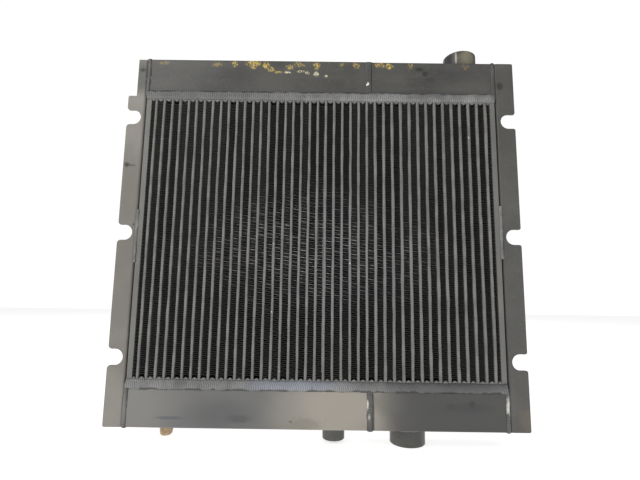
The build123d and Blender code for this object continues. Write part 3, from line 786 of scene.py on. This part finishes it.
def weldRing(name, centre, outer, axis, way, seed):
    # fillet from the tank's wall up the boss, bulged outwards, its radius rippled round the ring
    shape = ringShape
    around = max(90, int(2 * math.pi * (outer + shape["wide"]) / shape["step"]))
    angle = np.linspace(0, 2 * math.pi, around, endpoint=False)[:, None]
    t = np.linspace(0, 1, 9)[None]
    turns = round(2 * math.pi * (outer + 2) / shape["pitch"])
    ripple = np.abs(np.sin((angle * turns + 2.0 * np.sin(math.pi * t)) / 2))
    swell = shape["bulge"] * np.sin(math.pi * t) + shape["deep"] * (ripple - 0.6) * np.sin(math.pi * t) ** 0.5
    edge = np.sin(angle * 3 + seed) * shape["wobble"] + np.sin(angle * 7 + 2 * seed) * shape["wobble"] / 2
    radius = outer + (shape["wide"] + edge) * (1 - t) + swell * shape["lean"]
    height = (shape["tall"] - 1.0 + edge) * t + swell * shape["lean"]
    one = np.ones_like(angle)
    radius = np.concatenate([radius, one * (outer - 0.6), one * (outer - 0.6)], 1)
    height = np.concatenate([height, one * (shape["tall"] - 1.4), one * -0.6], 1)
    piece = skins(name, turned(radius, height, centre, axis, way), wrapRows=True)
    # painted shade in the ripple valleys and along both edges of the ring; the sunk rows are fully shaded
    valley = np.clip(1 - ripple * 1.8, 0, 1) * 0.5 + np.clip(np.abs(t * 2 - 1) - 0.8, 0, 1) * 2.5
    carry(piece, "crevice", np.concatenate([np.clip(valley, 0, 1), one, one], 1))
    return piece


for number, (name, port) in enumerate(ports.items()):
    boss, centre, outer = threadedBoss(name, port)
    stands(boss, portPaint, "tank_paint", "cooler", port["node"], sharp=35)
    ring = weldRing(name + "Weld", centre, outer, port["axis"], port["way"], number + 1.0)
    stands(ring, weldPaint, "weld_paint", "cooler", "weld_ports")
print("ports turned")


# ---- drain plug and washer

plug = {
    "head": 11.4, "crown": 5.0, "crownDrop": 0.5, "headChamfer": 1.1, "coneSlope": 1.6, "around": 96,
    "shankRadius": 4.75, "thread": 0.42, "pitch": 1.5, "perThread": 6, "tipChamfer": 0.8,
}


def drainPlug():
    # head: the radius is the smallest of the hexagon's, a cone's at the washer and the crown's at the outer end,
    # corner x root of (1 - drop x (1 - height / crown) squared); shank: crest radius minus a triangle wave that
    # climbs once round per pitch
    low, high = nodeBox("drain_plug")
    flats = min(high[0] - low[0], high[1] - low[1])
    headTop = low[2] + plug["head"]
    centre = (low + high) / 2
    angle = np.linspace(0, 2 * math.pi, plug["around"], endpoint=False)[None]
    turnTo = 0.0 if (high[0] - low[0]) > (high[1] - low[1]) else math.pi / 6
    hexagon = flats / 2 / np.cos((angle - turnTo) % (math.pi / 3) - math.pi / 6)
    corner = flats / math.sqrt(3)
    levelsUp = plug["head"] * np.array([0, 0.03, 0.08, 0.15, 0.25, 0.4, 0.6, 0.8, 0.92, 0.97, 1])
    cone = corner - plug["headChamfer"] + (plug["head"] - levelsUp)[:, None] * plug["coneSlope"] + 0 * angle
    below = 1 - np.clip(levelsUp / plug["crown"], 0, 1)[:, None]
    crown = corner * np.sqrt(1 - below**2 * plug["crownDrop"])
    head = np.minimum(np.minimum(hexagon, cone), crown)
    shankHeights = np.arange(0, high[2] - headTop - 0.3, plug["pitch"] / plug["perThread"])[:, None]
    saw = np.abs(((shankHeights / plug["pitch"] + angle / (2 * math.pi)) % 1.0) * 2 - 1)
    shank = plug["shankRadius"] - plug["thread"] * saw
    fade = np.clip((high[2] - headTop - shankHeights) / plug["tipChamfer"], 0, 1)
    shank = shank * (0.82 + 0.18 * fade)
    radius = np.concatenate([head, shank])
    z = np.concatenate([low[2] + levelsUp[:, None], headTop + shankHeights]) + 0 * radius
    x, y = centre[0] + radius * np.cos(angle), centre[1] + radius * np.sin(angle)
    return skins("drainPlug", np.stack([x, y, z], -1))


washer = {"inner": 5.1, "square": 0.35, "section": 24, "around": 72}


def drainWasher():
    # flat ring with rounded edges; its section is a circle whose sine and cosine are raised to the square power
    low, high = nodeBox("drain_washer")
    outer, inner, thick = (high[0] - low[0]) / 2, washer["inner"], high[2] - low[2]
    turn = np.linspace(0, 2 * math.pi, washer["section"], endpoint=False)[None]
    angle = np.linspace(0, 2 * math.pi, washer["around"], endpoint=False)[:, None]
    across, up = (
        np.sign(wave) * np.abs(wave) ** washer["square"] for wave in (np.cos(turn), np.sin(turn))
    )
    radius = (outer + inner) / 2 + across * (outer - inner) / 2 + 0 * angle
    height = up * thick / 2 + 0 * angle
    return skins("drainWasher", turned(radius, height, (low + high) / 2, 2, 1), wrapRows=True)


stands(drainPlug(), plugMetal, "plug_brass", "drain_plug", "drain_plug", sharp=25)
stands(drainWasher(), washerMetal, "washer_metal", "drain_washer", "drain_washer")
print("drain plug turned")


# ---- flanges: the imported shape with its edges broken

def softened(name, node, edge):
    # merged copy of a node's mesh with a small bevel on its sharp edges
    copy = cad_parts[node].data.copy()
    work = bmesh.new()
    work.from_mesh(copy)
    bmesh.ops.remove_doubles(work, verts=work.verts, dist=1e-6)
    bmesh.ops.dissolve_limit(work, angle_limit=math.radians(1), verts=work.verts, edges=work.edges)
    work.to_mesh(copy)
    work.free()
    copy.materials.clear()
    piece = bpy.data.objects.new(name, copy)
    bpy.context.scene.collection.objects.link(piece)
    bevel = piece.modifiers.new("edge", "BEVEL")
    bevel.width = edge * mm
    bevel.segments = 2
    bevel.limit_method = "ANGLE"
    bevel.angle_limit = math.radians(50)
    copy.polygons.foreach_set("use_smooth", np.zeros(len(copy.polygons), dtype=bool))
    return piece


stands(softened("flangeLeft", "flange_left", 0.5), flangeLeftPaintAndSheen, "tank_paint", "cooler", "flange_left")
stands(softened("flangeRight", "flange_right", 0.5), flangeRightPaint, "tank_paint", "cooler", "flange_right")
print("flanges softened")


# ---- the nodes that keep their shape

keeps = {
    "top_tank_left": topTankPaint, "top_tank_right": topTankPaint, "top_divider_plate": topTankPaint,
    "end_cap_top_left": topTankPaint, "end_cap_top_right": topTankPaint,
    "bottom_tank_left": bottomTankPaintAndSheen, "bottom_tank_right": bottomTankPaintAndSheen, "bottom_divider_plate": bottomTankPaintAndSheen,
    "end_cap_bottom_left": bottomTankPaintAndSheen, "end_cap_bottom_right": bottomTankPaintAndSheen,
    "side_plate_left": platePaint, "side_plate_right": platePaint,
    "air_bars_top": barGrey, "air_bars_bottom": barGrey, "dead_channel_bar": barGrey,
    "weld_flange_ends": weldBlockPaint, "oil_turbulators": turbulatorMetal,
}
for node, material in keeps.items():
    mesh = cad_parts[node].data
    mesh.materials.clear()
    mesh.materials.append(material)


# ---- floor, light and camera

studio = {
    "floorSize": 8.0, "floorColour": (0.92, 0.92, 0.915), "floorGlow": 0.72, "seen": 1.3, "ambient": 0.27,
    "lamps": (  # where, size, watts
        ((-1.5, -1.7, 1.6), 1.6, 24.0),
        ((1.3, -2.0, 0.5), 1.8, 6.0),
        ((-0.6, -1.2, -0.1), 0.9, 1.5),
        ((0.0, 2.2, 1.6), 2.0, 22.0),
    ),
}


def floorPlane():
    half = studio["floorSize"] / 2
    level = cadLow[2]
    mesh = bpy.data.meshes.new("floor")
    corners = [(-half, -half, level), (half, -half, level), (half, half, level), (-half, half, level)]
    mesh.from_pydata(corners, [], [(0, 1, 2, 3)])
    board = Board("floorWhite")
    mesh.materials.append(board.finish(
        Base_Color=(*studio["floorColour"], 1), Roughness=0.8, Emission_Color=(1, 1, 1, 1),
        Emission_Strength=studio["floorGlow"],
    ))
    floor = bpy.data.objects.new("floor", mesh)
    bpy.context.scene.collection.objects.link(floor)
    floor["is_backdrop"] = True


def surround():
    # white where the camera looks past the object, softer as light
    world = bpy.data.worlds.new("studio")
    bpy.context.scene.world = world
    world.use_nodes = True
    tree = world.node_tree
    tree.nodes.clear()
    path = tree.nodes.new("ShaderNodeLightPath")
    strength = tree.nodes.new("ShaderNodeMapRange")
    strength.inputs[3].default_value = studio["ambient"]
    strength.inputs[4].default_value = studio["seen"]
    glow = tree.nodes.new("ShaderNodeBackground")
    end = tree.nodes.new("ShaderNodeOutputWorld")
    tree.links.new(path.outputs["Is Camera Ray"], strength.inputs[0])
    tree.links.new(strength.outputs[0], glow.inputs["Strength"])
    tree.links.new(glow.outputs[0], end.inputs[0])


def aimed(place, target):
    return (Vector(target) - Vector(place)).to_track_quat("-Z", "Y").to_matrix().to_4x4()


def lamp(place, size, watts):
    light = bpy.data.lights.new("lamp", "AREA")
    light.size = size
    light.energy = watts
    piece = bpy.data.objects.new("lamp", light)
    piece.matrix_world = Matrix.Translation(place) @ aimed(place, (0, 0, 0))
    bpy.context.scene.collection.objects.link(piece)


view = {"place": (3.67, -594.3, -82.4), "up": 7.577, "turn": -0.163, "roll": 0.779, "lens": 22.57}


def photoCamera():
    # looks along +Y, turned, tipped up, then rolled about its own line of sight
    up, turn, roll = (math.radians(view[key]) for key in ("up", "turn", "roll"))
    ahead = Vector((math.sin(turn) * math.cos(up), math.cos(turn) * math.cos(up), math.sin(up)))
    right = ahead.cross(Vector((0, 0, 1))).normalized()
    top = right.cross(ahead)
    right, top = right * math.cos(roll) + top * math.sin(roll), top * math.cos(roll) - right * math.sin(roll)
    data = bpy.data.cameras.new("camera")
    data.lens = view["lens"]
    data.sensor_width = 36.0
    data.clip_start = 0.01
    camera = bpy.data.objects.new("camera", data)
    facing = Matrix((right, top, -ahead)).transposed().to_4x4()
    camera.matrix_world = Matrix.Translation(Vector(view["place"]) * mm) @ facing
    bpy.context.scene.collection.objects.link(camera)
    bpy.context.scene.camera = camera


floorPlane()
surround()
for place, size, watts in studio["lamps"]:
    lamp(place, size, watts)
photoCamera()
bpy.context.scene.view_settings.view_transform = "Standard"
print("studio set")

low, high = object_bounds()
